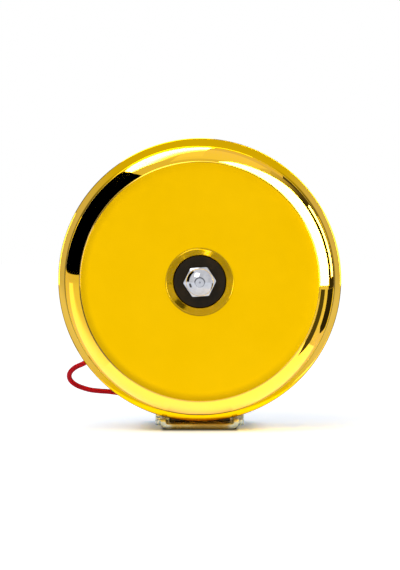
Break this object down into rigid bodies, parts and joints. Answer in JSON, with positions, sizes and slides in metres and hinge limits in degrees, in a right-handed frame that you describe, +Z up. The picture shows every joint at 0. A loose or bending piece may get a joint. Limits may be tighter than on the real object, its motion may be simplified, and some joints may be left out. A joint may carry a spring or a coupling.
{
  "type": "electric alarm bell",
  "caption": "Electric alarm bell with a polished gilt gong on a post, a trembler movement that swings a hammer inside it, a bent steel back plate with a foot, and a short red lead.",
  "frame": {"origin": "on the surface the foot stands on, below the middle of the bell's width and depth", "axes": "+Z up, the gong faces -Y and the wall face of the back plate faces +Y, +X to the right seen from the front"},
  "size_m": [0.1016, 0.0688, 0.104],
  "materials": {
    "polished_gilt": "gilt plating, satin face and mirror-polished shoulder",
    "bright_zinc": "bright zinc plate",
    "yellow_passivated_zinc": "yellow passivated zinc plate",
    "soft_iron": "bare soft iron, lightly oiled",
    "plain_brass": "turned brass",
    "spring_steel": "drawn spring steel",
    "blackened_steel": "blackened steel",
    "black_moulding": "black phenolic moulding",
    "red_brown_fibre": "vulcanised fibre",
    "coil_tape": "varnished cloth tape over the winding",
    "black_rubber": "soft black rubber",
    "red_pvc": "soft red sleeve of a thin lead"
  },
  "bodies": {
    "frame": {"gong": "polished_gilt", "gong_post": "bright_zinc", "gong_washer": "blackened_steel", "gong_rear_washer": "black_rubber", "cap_nut": "bright_zinc", "base_plate": "yellow_passivated_zinc", "cable_bush": "black_rubber", "earth_screw": "plain_brass", "terminal_block": "black_moulding", "terminal_screw_left": "plain_brass", "terminal_screw_right": "plain_brass", "terminal_block_screw": "bright_zinc", "magnet_bracket": "bright_zinc", "bracket_screw_left": "bright_zinc", "bracket_screw_right": "bright_zinc", "yoke_screw_left": "bright_zinc", "yoke_screw_right": "bright_zinc", "yoke": "soft_iron", "coil_core": "soft_iron", "core_screw": "bright_zinc", "coil_bobbin": "black_moulding", "coil_winding": "coil_tape", "armature_pivot_pin": "bright_zinc", "contact_insulator": "red_brown_fibre", "contact_pillar": "plain_brass", "pillar_screw": "bright_zinc", "contact_lock_nut": "plain_brass", "return_spring": "spring_steel", "spring_anchor": "bright_zinc", "red_lead": "red_pvc"},
    "hammer": {"armature": "soft_iron", "hammer_rod": "spring_steel", "hammer_head": "plain_brass", "contact_blade": "spring_steel", "blade_screw": "bright_zinc", "contact_point": "bright_zinc"},
    "adjuster": {"contact_screw": "plain_brass"}
  },
  "joints": [
    {"name": "hammer_swing", "type": "hinge", "parent": "frame", "child": "hammer", "pos_m": [0.0148, 0.01935, 0.01725], "axis": [0, -1, 0], "range_deg": [0, 3], "stiffness_Nm_per_rad": 0.06, "springref_deg": -11.46, "deforming": ["return_spring"]},
    {"name": "contact_screw_turn", "type": "hinge", "parent": "frame", "child": "adjuster", "pos_m": [0.027, 0.01935, 0.033], "axis": [1, 0, 0], "continuous": true}
  ]
}
